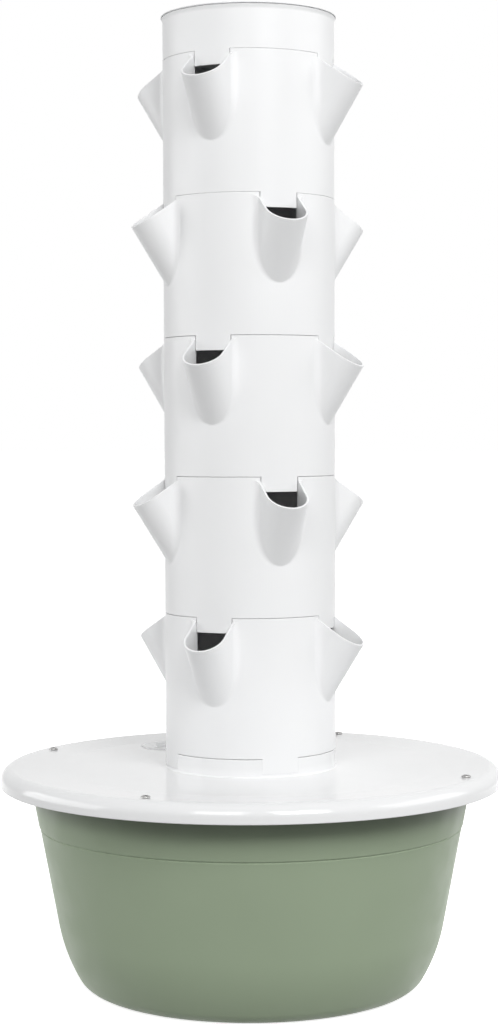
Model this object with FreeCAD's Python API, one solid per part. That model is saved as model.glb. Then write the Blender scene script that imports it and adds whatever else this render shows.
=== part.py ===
import FreeCAD, Part
import math
import os

# Vertical planter tower, in millimetres. The origin is the middle of the reservoir's foot,
# +Z is up, and a pocket of the bottom section points along +X.

Vector = FreeCAD.Vector
X_AXIS = Vector(1, 0, 0)
Z_AXIS = Vector(0, 0, 1)

# Tower tube and its sections
tower_radius = 110.0
tower_wall = 2.8
section_pitch = 176.5
section_count = 5
pocket_count = 4
edge_chamfer = 0.7
spigot_depth = 15.5
spigot_wall = 2.8
spigot_clearance = 0.4
ledge_height = 5.0

# Drop tabs that close the upper end of the pocket mouths
tab_drop = 18.8
tab_clearance = 0.6

# Planting pockets
pocket_width = 50.0
pocket_wall = 2.8
pocket_reach = 156.6
pocket_tip_drop = 38.2
pocket_tilt = 32.4
mouth_tilt = 34.0

# Top of the tower
cap_height = 57.0
cap_flare = 1.6
cap_flare_height = 7.0
cap_floor_thickness = 3.0
top_lid_thickness = 2.6
top_lid_overhang = 2.4
top_lid_plug_depth = 9.0
top_panel_radius = 84.0
top_panel_rise = 1.0

# Drip trays
tray_thickness = 2.5
tray_clearance = 0.5
tray_sleeve_radius = 17.0
tray_sleeve_height = 24.0
drip_slot_place = 86.0
drip_slot_width = 7.0
drip_slot_length = 40.0

# Reservoir
reservoir_height = 280.0
mouth_radius = 286.3
reservoir_wall = 3.2
wall_angle = 10.6
haunch_radius = 210.0
haunch_angle = 30.3
corner_radius = 29.0
step_height = 212.0
step_depth = 1.0
foot_width = 15.0
foot_recess = 2.0
flange_thickness = 4.0
boss_radius = 7.5
boss_depth = 12.0
boss_web = 5.0

# Lid of the reservoir
lid_overhang = 37.0
lid_wall = 3.5
lid_slope_width = 63.0
lid_crown = 2.5
lid_round = 16.0
lid_skirt_height = 20.8
collar_height = 23.0
collar_root = 2.5
lid_clearance = 0.8
lid_rib_count = 6
lid_rib_depth = 12.0
lid_rib_wall = 3.0
drain_slot_place = 60.0
drain_slot_width = 16.0
drain_slot_length = 44.0
hub_wall = 3.0
hub_height = 20.0

# Filling port and its cap
port_distance = 204.0
port_azimuth = 147.5
port_radius = 34.0
port_seat_width = 6.5
port_seat_depth = 2.0
cap_disc_thickness = 3.2
cap_seat_clearance = 0.5
cap_plug_wall = 2.2
cap_plug_depth = 9.0
cap_grip_length = 50.0
cap_grip_width = 9.0
cap_grip_height = 5.5

# Screws of the lid
screw_count = 4
screw_inset = 28.5
screw_shank_radius = 2.6
screw_length = 14.0
screw_head_radius = 5.8
screw_head_height = 3.0
screw_bevel_height = 1.35
screw_bevel_width = 1.9
screw_hole_clearance = 0.6
pilot_clearance = 0.05
recess_width = 1.5
recess_span = 6.4
recess_depth = 1.6

# Riser
pipe_radius = 12.5
pipe_wall = 1.9
pipe_fit = 0.05
pipe_guide_clearance = 0.5
coupling_wall = 2.9
coupling_length = 50.0
riser_above_floor = 30.0

# Submersible pump
pump_axis_rise = 56.0
motor_radius = 36.0
motor_length = 76.0
motor_bevel = 5.0
motor_fin_count = 10
motor_fin_height = 2.5
motor_fin_wall = 3.0
base_length = 66.0
base_width = 58.0
base_thickness = 11.0
volute_radius = 32.0
volute_length = 32.0
volute_front_wall = 4.0
chamber_radius = 25.0
eye_radius = 11.0
eye_arm_count = 3
eye_arm_width = 3.0
stub_wall = 3.0
stub_rise = 54.0
stub_socket = 18.0
rotor_radius = 14.0
rotor_length = 52.0
rotor_clearance = 0.8
shaft_radius = 2.0
shaft_clearance = 0.05
bush_radius = 4.5
bush_length = 5.0
impeller_radius = 22.0
impeller_hub_radius = 7.0
impeller_plate = 2.0
impeller_gap = 3.0
impeller_blade_count = 5
impeller_blade_wall = 1.6
strainer_radius = 34.0
strainer_length = 30.0
strainer_wall = 2.5
strainer_slot_count = 8
strainer_slot_width = 4.0
foot_side = 18.0
foot_taper = 2.5
foot_height = 13.0
gland_radius = 6.0
gland_length = 14.0
gland_bore_radius = 3.3
gland_rise = 16.0

# Places worked out from the sizes above
inner_radius = tower_radius - tower_wall
spigot_radius = inner_radius - spigot_clearance
spigot_bore = spigot_radius - spigot_wall
half_turn = 180.0 / pocket_count
lid_top = reservoir_height + lid_wall
first_seam = lid_top + collar_height
lid_radius = mouth_radius + lid_overhang
lid_flat_radius = lid_radius - lid_round - lid_slope_width
lid_seat_radius = lid_radius - lid_round / 2
flange_radius = lid_seat_radius - lid_clearance
screw_circle_radius = lid_radius - screw_inset
cap_seam = first_seam + section_count * section_pitch
cap_floor_top = cap_seam + ledge_height + cap_floor_thickness
cap_wall_top = cap_height - top_lid_thickness
riser_top = cap_floor_top + riser_above_floor
pocket_half_width = pocket_width / 2
floor_height = reservoir_wall + foot_recess
pump_axis = floor_height + pump_axis_rise
volute_back = -volute_length / 2
volute_front = volute_length / 2
stub_radius = pipe_radius + pipe_fit + stub_wall
stub_top = pump_axis + stub_rise
riser_bottom = stub_top - stub_socket
pipe_bore = pipe_radius - pipe_wall
pipe_guide_radius = pipe_radius + pipe_guide_clearance
coupling_radius = pipe_radius + pipe_fit + coupling_wall
wall_slope = math.tan(math.radians(wall_angle))


def polar(radius, degrees, height=0.0):
    angle = math.radians(degrees)
    return Vector(radius * math.cos(angle), radius * math.sin(angle), height)


def outline_face(points):
    """Closed face in the XZ plane."""
    corners = [Vector(x, 0, z) for x, z in points]
    return Part.Face(Part.makePolygon(corners + corners[:1]))


def turned(*points):
    return outline_face(points).revolve(Vector(), Z_AXIS, 360)


def arc_point(centre, radius, degrees):
    """Point of a circle in the XZ plane, the angle counted down from the horizontal."""
    angle = math.radians(degrees)
    return (centre[0] + radius * math.cos(angle), centre[1] - radius * math.sin(angle))


def arc_steps(centre, radius, from_degrees, to_degrees, count):
    """Points at equal steps along a circle, from its start to its end."""
    step = (to_degrees - from_degrees) / count
    return [arc_point(centre, radius, from_degrees + index * step) for index in range(count + 1)]


def ring(outer, inner, bottom, top):
    return turned((inner, bottom), (outer, bottom), (outer, top), (inner, top))


def copies_around(shape, count, start=0.0):
    """The shape at equal steps around the Z axis."""
    result = []
    for index in range(count):
        copy = shape.copy()
        copy.rotate(Vector(), Z_AXIS, start + index * 360.0 / count)
        result.append(copy)
    return result


def fused(shapes):
    return shapes[0].fuse(shapes[1:]).removeSplitter()


def moved(shape, offset):
    copy = shape.copy()
    copy.translate(offset)
    return copy


def slots_around(place, width, length, count, start, bottom, top):
    """Straight slots across the radius, at equal steps around the Z axis."""
    slot = Part.makeBox(width, length, top - bottom, Vector(place - width / 2, -length / 2, bottom))
    return copies_around(slot, count, start)


def tube_outline(height):
    """Outline of one tower piece: wall, inner ledge and lower spigot."""
    return [
        (tower_radius, 0.0),
        (tower_radius, height),
        (inner_radius, height),
        (inner_radius, ledge_height),
        (spigot_bore, ledge_height),
        (spigot_bore, -spigot_depth),
        (spigot_radius, -spigot_depth),
        (spigot_radius, 0.0),
    ]


def drop_tab():
    """Tab on the X axis, flush with the tube, that hangs into the pocket mouth below."""
    width = pocket_width - 2 * tab_clearance
    blank = ring(tower_radius, spigot_bore, -tab_drop, 0)
    reach = Part.makeBox(tower_radius, width, 2 * tab_drop, Vector(0, -width / 2, -tab_drop))
    return blank.common(reach)


def drop_tabs():
    return copies_around(drop_tab(), pocket_count, half_turn)


def pocket_frame():
    """Unit vectors along the pocket, outward across it, and across the mouth."""
    tilt = math.radians(pocket_tilt)
    along = Vector(math.sin(tilt), 0, math.cos(tilt))
    outward = Vector(math.cos(tilt), 0, -math.sin(tilt))
    return along, outward, Vector(0, 1, 0)


def scoop(half_width, down, up, back):
    """U-shaped bar along the pocket, with its round nose outward."""
    along, outward, side = pocket_frame()
    tip = Vector(pocket_reach, 0, section_pitch - pocket_tip_drop)
    nose = tip - outward * (pocket_half_width + pocket_wall) - along * down
    left = nose + side * half_width
    right = nose - side * half_width
    far = outward * -back
    edges = [
        Part.LineSegment(left + far, left).toShape(),
        Part.Arc(left, nose + outward * half_width, right).toShape(),
        Part.LineSegment(right, right + far).toShape(),
        Part.LineSegment(right + far, left + far).toShape(),
    ]
    return Part.Face(Part.Wire(edges)).extrude(along * (down + up))


def above_mouth():
    """Everything above the sloping plane of the pocket's mouth."""
    size = 2 * pocket_reach
    block = Part.makeBox(size, size, size, Vector(-size / 2, -size / 2, 0))
    block.rotate(Vector(), Vector(0, 1, 0), mouth_tilt)
    block.translate(Vector(pocket_reach, 0, section_pitch - pocket_tip_drop))
    return block


def pocket_run():
    """Length below the tip that takes a pocket's bar back inside the tube."""
    return (pocket_reach - tower_radius + pocket_width) / math.tan(math.radians(pocket_tilt))


def pocket_shell():
    bar = scoop(pocket_half_width + pocket_wall, pocket_run(), pocket_width, pocket_width)
    inside = Part.makeCylinder(inner_radius, 3 * section_pitch, Vector(0, 0, -section_pitch))
    return bar.cut(above_mouth()).cut(inside)


def pocket_hollow():
    """Space inside the pocket, which also opens the tube wall up to the seam."""
    bar = scoop(pocket_half_width, pocket_run(), section_pitch, 1.5 * pocket_width)
    near_wall = Part.makeBox(
        pocket_reach,
        2 * pocket_width,
        2 * section_pitch,
        Vector(inner_radius - pocket_half_width, -pocket_width, 0),
    )
    return bar.common(near_wall)


def growing_section():
    """One moulded section, its lower seam at height 0 and a pocket on the X axis."""
    body = turned(*tube_outline(section_pitch))
    body = body.fuse(copies_around(pocket_shell(), pocket_count) + drop_tabs())
    body = body.cut(copies_around(pocket_hollow(), pocket_count))
    return body.removeSplitter()


def drip_tray():
    """Disc on the ledge of a section, with a slot over each pocket of the section below."""
    rim = inner_radius - tray_clearance
    floor_top = ledge_height + tray_thickness
    sleeve = tray_sleeve_radius + tray_thickness
    body = turned(
        (tray_sleeve_radius, ledge_height),
        (rim, ledge_height),
        (rim, floor_top),
        (sleeve, floor_top),
        (sleeve, ledge_height + tray_sleeve_height),
        (tray_sleeve_radius, ledge_height + tray_sleeve_height),
    )
    return body.cut(drip_slots(2 * floor_top))


def drip_slots(top):
    return slots_around(drip_slot_place, drip_slot_width, drip_slot_length, pocket_count, half_turn, 0, top)


def placed_on_seam(shape, index):
    """Turns every other piece by half a pocket step and lifts it to its seam."""
    copy = shape.copy()
    copy.rotate(Vector(), Z_AXIS, half_turn * (index % 2))
    copy.translate(Vector(0, 0, first_seam + index * section_pitch))
    return copy


def shower_cap():
    """Short top section with a slotted floor, a sleeve for the riser and a flared edge."""
    outline = tube_outline(cap_wall_top)
    outline[1:2] = [
        (tower_radius, cap_wall_top - cap_flare_height),
        (tower_radius + cap_flare, cap_wall_top),
    ]
    floor_top = ledge_height + cap_floor_thickness
    floor = ring(inner_radius + tower_wall / 2, pipe_guide_radius, ledge_height, floor_top)
    sleeve = ring(pipe_guide_radius + hub_wall, pipe_guide_radius, ledge_height, floor_top + hub_height)
    body = fused([turned(*outline), floor, sleeve] + drop_tabs())
    return body.cut(drip_slots(2 * floor_top))


def top_lid():
    """Thin lid with a proud bevelled edge, a shallow raised panel and a plug ring below."""
    edge = tower_radius + top_lid_overhang
    rim_top = top_lid_thickness - top_panel_rise
    disc = turned(
        (0, 0),
        (edge, 0),
        (edge, rim_top - edge_chamfer),
        (edge - edge_chamfer, rim_top),
        (top_panel_radius + top_panel_rise, rim_top),
        (top_panel_radius, top_lid_thickness),
        (0, top_lid_thickness),
    )
    plug = ring(spigot_radius, spigot_bore, -top_lid_plug_depth, 0)
    return moved(fused([disc, plug]), Vector(0, 0, cap_seam + cap_wall_top))


def reservoir_arcs():
    """Centres of the two lower arcs of the outside: the corner's, then the haunch's."""
    turn = math.radians(haunch_angle)
    lean = math.radians(wall_angle)
    spread = haunch_radius - corner_radius
    haunch_top = corner_radius + spread * math.sin(turn) - haunch_radius * math.sin(lean)
    wall_run = (reservoir_height - haunch_top) * wall_slope
    foot_radius = mouth_radius - wall_run - haunch_radius * math.cos(lean) + spread * math.cos(turn)
    haunch = (foot_radius - spread * math.cos(turn), corner_radius + spread * math.sin(turn))
    return (foot_radius, corner_radius), haunch


def reservoir_wall_radius(height):
    """Outer radius of the straight wall at a height, below the step."""
    return mouth_radius - (reservoir_height - height) * wall_slope


def reservoir_bore_radius(height):
    return reservoir_wall_radius(height) - reservoir_wall / math.cos(math.radians(wall_angle))


def reservoir_body():
    """Shell of the tub: a tight corner, a wide haunch and a straight wall with a shallow step."""
    corner, haunch = reservoir_arcs()
    foot = corner[0]
    foot_inner = foot - foot_width
    flange_bottom = reservoir_height - flange_thickness
    outside = arc_steps(corner, corner_radius, 90, haunch_angle, 3)
    outside += arc_steps(haunch, haunch_radius, haunch_angle, wall_angle, 3)[1:]
    inside = arc_steps(haunch, haunch_radius - reservoir_wall, wall_angle, haunch_angle, 2)
    return turned(
        (0, foot_recess),
        (foot_inner - foot_recess, foot_recess),
        (foot_inner, 0),
        *outside,
        (reservoir_wall_radius(step_height), step_height),
        (reservoir_wall_radius(step_height) + step_depth, step_height + step_depth / 2),
        (reservoir_wall_radius(flange_bottom) + step_depth, flange_bottom),
        (flange_radius, flange_bottom),
        (flange_radius, reservoir_height),
        (reservoir_bore_radius(reservoir_height), reservoir_height),
        *inside,
        (foot + corner_radius / 3, floor_height),
        (0, floor_height),
    )


def screw_boss():
    """Boss under the flange on the X axis, with a web back to the wall."""
    bottom = reservoir_height - flange_thickness - boss_depth
    height = reservoir_height - flange_thickness / 2 - bottom
    centre = Vector(screw_circle_radius, 0, bottom)
    post = Part.makeCylinder(boss_radius, height, centre)
    web_start = reservoir_wall_radius(bottom) - reservoir_wall / 2 + step_depth
    web = Part.makeBox(
        screw_circle_radius - web_start, boss_web, height, Vector(web_start, -boss_web / 2, bottom)
    )
    return post.fuse(web)


def reservoir():
    pilot_bottom = reservoir_height - screw_length
    pilot = Part.makeCylinder(
        screw_shank_radius + pilot_clearance,
        2 * screw_length,
        Vector(screw_circle_radius, 0, pilot_bottom),
    )
    body = fused([reservoir_body()] + copies_around(screw_boss(), screw_count))
    return body.cut(copies_around(pilot, screw_count))


def lid_shell():
    """Top plate, rolled rim, collar and the floor inside the collar."""
    rim_top = lid_top + lid_crown
    rim_centre = (lid_radius - lid_round, rim_top - lid_round)
    skirt_bottom = lid_top - lid_skirt_height
    return turned(
        (pipe_guide_radius, reservoir_height),
        (lid_seat_radius, reservoir_height),
        (lid_radius - lid_wall, rim_centre[1]),
        (lid_radius - lid_wall, skirt_bottom),
        (lid_radius, skirt_bottom),
        *arc_steps(rim_centre, lid_round, 0, -90, 4),
        (lid_flat_radius, lid_top),
        (tower_radius + collar_root, lid_top),
        (tower_radius, lid_top + collar_root),
        (tower_radius, first_seam),
        (inner_radius, first_seam),
        (inner_radius, lid_top),
        (pipe_guide_radius, lid_top),
    )


def lid_rib():
    """Stiffening rib under the lid, along the X axis, clear of the reservoir's wall."""
    end = reservoir_bore_radius(reservoir_height - lid_rib_depth) - lid_rib_wall
    return Part.makeBox(
        end - pipe_guide_radius - hub_wall / 2,
        lid_rib_wall,
        lid_rib_depth + lid_wall / 2,
        Vector(pipe_guide_radius + hub_wall / 2, -lid_rib_wall / 2, reservoir_height - lid_rib_depth),
    )


def collar_notch():
    """Cut on the X axis that takes a drop tab of the bottom section."""
    depth = tab_drop + tab_clearance
    start = spigot_bore - tower_wall
    return Part.makeBox(
        tower_radius + collar_root - start,
        pocket_width,
        2 * depth,
        Vector(start, -pocket_half_width, first_seam - depth),
    )


def port_place(height):
    return polar(port_distance, port_azimuth, height)


def lid():
    hub_top = lid_top + hub_height / 2
    hub = ring(pipe_guide_radius + hub_wall, pipe_guide_radius, reservoir_height - lid_rib_depth, hub_top)
    body = fused([lid_shell(), hub] + copies_around(lid_rib(), lid_rib_count))
    tall = 4 * lid_rib_depth
    low = reservoir_height - tall / 2
    drains = slots_around(
        drain_slot_place,
        drain_slot_width,
        drain_slot_length,
        lid_rib_count,
        180.0 / lid_rib_count,
        low,
        low + tall,
    )
    screw_hole = Part.makeCylinder(
        screw_shank_radius + screw_hole_clearance, tall, Vector(screw_circle_radius, 0, low)
    )
    port = Part.makeCylinder(port_radius, tall, port_place(low))
    seat = Part.makeCylinder(
        port_radius + port_seat_width, tall, port_place(lid_top - port_seat_depth)
    )
    notches = copies_around(collar_notch(), pocket_count, half_turn)
    return body.cut(drains + notches + copies_around(screw_hole, screw_count) + [port, seat])


def cap_grip():
    """Low bar along the Y axis, narrower at its top, standing on height 0."""
    half = cap_grip_width / 2
    top_half = half / 2
    corners = [(-half, 0), (half, 0), (top_half, cap_grip_height), (-top_half, cap_grip_height), (-half, 0)]
    face = Part.Face(Part.makePolygon([Vector(x, -cap_grip_length / 2, z) for x, z in corners]))
    return face.extrude(Vector(0, cap_grip_length, 0))


def fill_cap():
    """Cap that sits in the seat of the filling port, with a plug ring and a grip bar."""
    radius = port_radius + port_seat_width - cap_seat_clearance
    seat = lid_top - port_seat_depth
    top = seat + cap_disc_thickness
    plug_radius = port_radius - cap_seat_clearance
    body = turned(
        (0, seat),
        (plug_radius - cap_plug_wall, seat),
        (plug_radius - cap_plug_wall, seat - cap_plug_depth),
        (plug_radius, seat - cap_plug_depth),
        (plug_radius, seat),
        (radius, seat),
        (radius, top - edge_chamfer),
        (radius - edge_chamfer, top),
        (0, top),
    )
    body = fused([body, moved(cap_grip(), Vector(0, 0, top))])
    body.rotate(Vector(), Z_AXIS, port_azimuth)
    return moved(body, port_place(0))


def lid_screw():
    """Cross-recess screw on the X axis, its bevelled head on the crowned lid."""
    body = turned(
        (0, -screw_length),
        (screw_shank_radius, -screw_length),
        (screw_shank_radius, 0),
        (screw_head_radius, 0),
        (screw_head_radius, screw_head_height - screw_bevel_height),
        (screw_head_radius - screw_bevel_width, screw_head_height),
        (0, screw_head_height),
    )
    for turn in (45, 135):
        bar = Part.makeBox(
            recess_span,
            recess_width,
            screw_head_height,
            Vector(-recess_span / 2, -recess_width / 2, screw_head_height - recess_depth),
        )
        bar.rotate(Vector(), Z_AXIS, turn)
        body = body.cut(bar)
    return moved(body, Vector(screw_circle_radius, 0, screw_seat_height()))


def screw_seat_height():
    """Height of the lid's sloping top where a screw head's inner edge meets it."""
    slope = lid_crown / lid_slope_width
    return lid_top + slope * (screw_circle_radius + screw_head_radius - lid_flat_radius)


def lid_screws():
    return Part.makeCompound(copies_around(lid_screw(), screw_count))


def riser_pieces():
    """Three equal pipes, end to end, and the two couplings over their joins."""
    names = ("lower", "middle", "upper")
    length = (riser_top - riser_bottom) / len(names)
    pieces = []
    for index, name in enumerate(names):
        bottom = riser_bottom + index * length
        pieces.append(("riser_pipe_" + name, ring(pipe_radius, pipe_bore, bottom, bottom + length)))
    for index, name in enumerate(("lower", "upper")):
        join = riser_bottom + (index + 1) * length
        sleeve = ring(
            coupling_radius, pipe_radius + pipe_fit, join - coupling_length / 2, join + coupling_length / 2
        )
        pieces.append((name + "_pipe_coupling", sleeve))
    return pieces


def along_pump(*points):
    """Turned piece on the pump's axis; its outline is given as distance along X and radius."""
    body = outline_face(points).revolve(Vector(), X_AXIS, 360)
    return moved(body, Vector(0, 0, pump_axis))


def pump_bar(radius, start, end):
    return Part.makeCylinder(radius, end - start, Vector(start, 0, pump_axis), X_AXIS)


def rotor_back():
    return volute_back + impeller_gap - rotor_length


def pump_housing():
    """Finned motor can on a base plate, with a blind well for the rotor."""
    back = volute_back - motor_length
    can = along_pump(
        (back, 0),
        (back, motor_radius - motor_bevel),
        (back + motor_bevel, motor_radius),
        (volute_back, motor_radius),
        (volute_back, 0),
    )
    fins = []
    for index in range(motor_fin_count):
        fin = Part.makeBox(
            motor_length - 3 * motor_bevel,
            motor_fin_wall,
            motor_radius + motor_fin_height,
            Vector(back + 2 * motor_bevel, -motor_fin_wall / 2, 0),
        )
        fin.rotate(Vector(), X_AXIS, (index + 0.5) * 360.0 / motor_fin_count)
        fins.append(moved(fin, Vector(0, 0, pump_axis)))
    base = Part.makeBox(
        base_length,
        base_width,
        base_thickness,
        Vector(volute_back - base_length - impeller_gap, -base_width / 2, floor_height + foot_height),
    )
    body = fused([can, base] + fins)
    well = pump_bar(rotor_radius + rotor_clearance, rotor_back() - rotor_clearance, volute_back)
    bush_seat = pump_bar(bush_radius, rotor_back() - rotor_clearance - bush_length, volute_back)
    return body.cut([well, bush_seat])


def pump_volute():
    """Impeller chamber with a three-armed inlet eye in front and the outlet stub on top."""
    drum = pump_bar(volute_radius, volute_back, volute_front)
    stub = Part.makeCylinder(stub_radius, stub_rise, Vector(0, 0, pump_axis))
    outlet = Part.makeCylinder(pipe_bore, stub_rise, Vector(0, 0, pump_axis))
    socket = Part.makeCylinder(pipe_radius + pipe_fit, stub_socket, Vector(0, 0, riser_bottom))
    inner_front = volute_front - volute_front_wall
    body = drum.fuse(stub)
    body = body.cut([pump_bar(chamber_radius, volute_back, inner_front), outlet, socket])
    body = body.cut(pump_bar(eye_radius, inner_front, volute_front))
    spider = [pump_bar(bush_radius + eye_arm_width / 2, inner_front, volute_front)]
    for index in range(eye_arm_count):
        arm = Part.makeBox(
            volute_front_wall,
            eye_arm_width,
            eye_radius + volute_front_wall,
            Vector(inner_front, -eye_arm_width / 2, 0),
        )
        arm.rotate(Vector(), X_AXIS, index * 360.0 / eye_arm_count)
        spider.append(moved(arm, Vector(0, 0, pump_axis)))
    body = fused([body] + spider)
    return body.cut(pump_bar(bush_radius, inner_front, volute_front))


def pump_strainer():
    """Slotted cap over the inlet eye."""
    front = volute_front + strainer_length
    body = pump_bar(strainer_radius, volute_front, front)
    hollow = pump_bar(strainer_radius - strainer_wall, volute_front, front - strainer_wall)
    eye = pump_bar(eye_radius, front - strainer_wall, front)
    slots = []
    for index in range(strainer_slot_count):
        slot = Part.makeBox(
            strainer_length - 4 * strainer_wall,
            strainer_slot_width,
            strainer_radius,
            Vector(volute_front + 2 * strainer_wall, -strainer_slot_width / 2, strainer_radius / 2),
        )
        slot.rotate(Vector(), X_AXIS, index * 360.0 / strainer_slot_count)
        slots.append(moved(slot, Vector(0, 0, pump_axis)))
    return body.cut(slots + [hollow, eye])


def impeller_blade():
    """One flat blade beside the hub, swept back from the radius."""
    front_end = volute_front - volute_front_wall - impeller_gap
    back_end = volute_back + impeller_gap
    return Part.makeBox(
        front_end - back_end,
        impeller_blade_wall,
        impeller_radius - impeller_plate,
        Vector(back_end, impeller_hub_radius - impeller_blade_wall, 0),
    )


def pump_impeller():
    back_end = volute_back + impeller_gap
    front_end = volute_front - volute_front_wall - impeller_gap / 2
    plate = pump_bar(impeller_radius, back_end, back_end + impeller_plate)
    hub = pump_bar(impeller_hub_radius, back_end, front_end)
    blades = []
    for index in range(impeller_blade_count):
        blade = impeller_blade()
        blade.rotate(Vector(), X_AXIS, index * 360.0 / impeller_blade_count)
        blades.append(moved(blade, Vector(0, 0, pump_axis)))
    body = fused([plate, hub] + blades)
    return body.cut(pump_bar(shaft_radius + shaft_clearance, back_end - 1, front_end + 1))


def pump_magnet():
    body = pump_bar(rotor_radius, rotor_back(), volute_back + impeller_gap)
    bore = pump_bar(shaft_radius + shaft_clearance, rotor_back() - 1, volute_front)
    return body.cut(bore)


def pump_shaft():
    return pump_bar(shaft_radius, rotor_back() - rotor_clearance - bush_length, volute_front)


def pump_shaft_bushes():
    """Rubber bushes at the two ends of the shaft."""
    rear = rotor_back() - rotor_clearance - bush_length
    shapes = []
    for start, end in ((rear, rear + bush_length), (volute_front - volute_front_wall, volute_front)):
        shapes.append(pump_bar(bush_radius, start, end).cut(pump_bar(shaft_radius, start, end)))
    return Part.makeCompound(shapes)


def foot_places():
    """Bottom centres of the pump's rubber feet, on the reservoir's floor."""
    back = volute_back - base_length - impeller_gap + foot_side / 2
    front = volute_back - impeller_gap - foot_side / 2
    side = (base_width - foot_side) / 2
    return [Vector(x, y, floor_height) for x in (back, front) for y in (-side, side)]


def rubber_foot():
    """Square pad that narrows towards the base plate."""
    half = foot_side / 2
    wedge = [(-half, 0), (half, 0), (half - foot_taper, foot_height), (foot_taper - half, foot_height)]
    along_x = Part.makePolygon([Vector(x, -half, z) for x, z in wedge + wedge[:1]])
    along_y = Part.makePolygon([Vector(-half, y, z) for y, z in wedge + wedge[:1]])
    pad = Part.Face(along_x).extrude(Vector(0, foot_side, 0))
    return pad.common(Part.Face(along_y).extrude(Vector(foot_side, 0, 0)))


def pump_feet():
    return Part.makeCompound([moved(rubber_foot(), place) for place in foot_places()])


def pump_cable_gland():
    """Empty inlet at the back of the motor, where the lead goes in."""
    face = volute_back - motor_length
    sleeve = pump_bar(gland_radius, face - gland_length, face)
    sleeve = sleeve.cut(pump_bar(gland_bore_radius, face - gland_length, face))
    return moved(sleeve, Vector(0, 0, gland_rise))


def all_pieces():
    """Every piece of the tower, as pairs of a name and its shape in place."""
    pieces = [
        ("reservoir", reservoir()),
        ("lid", lid()),
        ("lid_screws", lid_screws()),
        ("fill_cap", fill_cap()),
        ("shower_cap", placed_on_seam(shower_cap(), section_count)),
        ("top_lid", top_lid()),
        ("pump_housing", pump_housing()),
        ("pump_volute", pump_volute()),
        ("pump_strainer", pump_strainer()),
        ("pump_impeller", pump_impeller()),
        ("pump_magnet", pump_magnet()),
        ("pump_shaft", pump_shaft()),
        ("pump_shaft_bushes", pump_shaft_bushes()),
        ("pump_feet", pump_feet()),
        ("pump_cable_gland", pump_cable_gland()),
    ]
    pieces += riser_pieces()
    section = growing_section()
    tray = drip_tray()
    for index in range(section_count):
        number = str(index + 1)
        pieces.append(("section_" + number, placed_on_seam(section, index)))
        pieces.append(("drip_tray_" + number, placed_on_seam(tray, index)))
    return pieces


os.makedirs("parts", exist_ok=True)
for piece_name, piece in all_pieces():
    piece.exportStep("parts/" + piece_name + ".step")
    print(piece_name, "solids", len(piece.Solids), "valid", piece.isValid(), "volume", round(piece.Volume))
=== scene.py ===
import math

import bmesh
import bpy
from mathutils import Matrix, Vector


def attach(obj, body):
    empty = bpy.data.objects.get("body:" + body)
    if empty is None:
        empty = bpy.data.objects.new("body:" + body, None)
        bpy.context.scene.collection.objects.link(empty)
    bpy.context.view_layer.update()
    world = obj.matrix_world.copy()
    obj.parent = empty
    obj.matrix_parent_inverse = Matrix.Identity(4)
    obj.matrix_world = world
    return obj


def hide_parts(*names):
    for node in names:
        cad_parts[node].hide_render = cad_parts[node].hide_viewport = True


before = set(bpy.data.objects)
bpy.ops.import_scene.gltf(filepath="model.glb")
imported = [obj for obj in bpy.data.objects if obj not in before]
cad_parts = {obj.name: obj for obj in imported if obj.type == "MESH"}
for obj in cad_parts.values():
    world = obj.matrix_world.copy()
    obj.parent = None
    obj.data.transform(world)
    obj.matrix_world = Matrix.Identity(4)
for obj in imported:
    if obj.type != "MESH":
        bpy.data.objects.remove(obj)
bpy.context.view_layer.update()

# Shapes are in millimetres until a mesh is made; materials, lamps and camera are in metres.
MM = 0.001

# Tower tube and its sections; a section's heights count from its lower seam
TOWER = 110.0
BORE = 107.2
SPIGOT = 106.8
SPIGOT_BORE = 104.0
SPIGOT_DEPTH = 15.5
SPIGOT_EDGE = 0.5
LEDGE = 5.0
PITCH = 176.5
FIRST_SEAM = 306.5
SECTIONS = 5
POCKETS = 4
HALF_TURN = 180.0 / POCKETS
BORE_EDGE = 0.4
SEAM_EDGE = 0.9
SEAM_GAP = 0.5
TIGHT_SEAM_GAP = 0.12
TIGHT_SECTIONS = 2

# Drop tabs, and how far the cutters between them and for the collar's notches reach past the tube
TAB_DROP = 18.8
TAB_HALF = 23.9
TAB_EDGE = 0.3
TAB_GAP_STEPS = 32
TAB_CUT_OUTSIDE = 2.0
TAB_CUT_INSIDE = 1.0
TAB_CUT_BELOW = 1.0
TAB_CUT_SKIN = 0.01
NOTCH_GAP = 0.04
NOTCH_INSIDE = 4.0
NOTCH_OUTSIDE = 6.0
NOTCH_ABOVE = 5.0

# Planting pockets
POCKET_HALF = 25.0
POCKET_WALL = 2.8
POCKET_OUTER = POCKET_HALF + POCKET_WALL
POCKET_REACH = 156.6
POCKET_DROP = 38.2
POCKET_TILT = math.radians(32.4)
POCKET_FLANK = 34.5
POCKET_SINK = 1.2
BORE_SINK = 0.05
MOUTH_TILT = math.radians(34.0)
RIM_EDGE = 0.7
RIM_DEPTH = 4 * RIM_EDGE
LEAST_WALL = 5 * RIM_EDGE
HOLLOW_FLANK = 45.0
HOLLOW_GAP = 0.15
HOLLOW_BELOW = 150.0
HOLLOW_LENGTH = 215.0
NOSE_FILLET = 3.0
FLANK_FILLET = 11.0
FILLET_FLANK = 36.0
FILLET_SINK = 1.0
FILLET_STEPS = 8
FILLET_BELOW_MOUTH = 0.2

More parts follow.
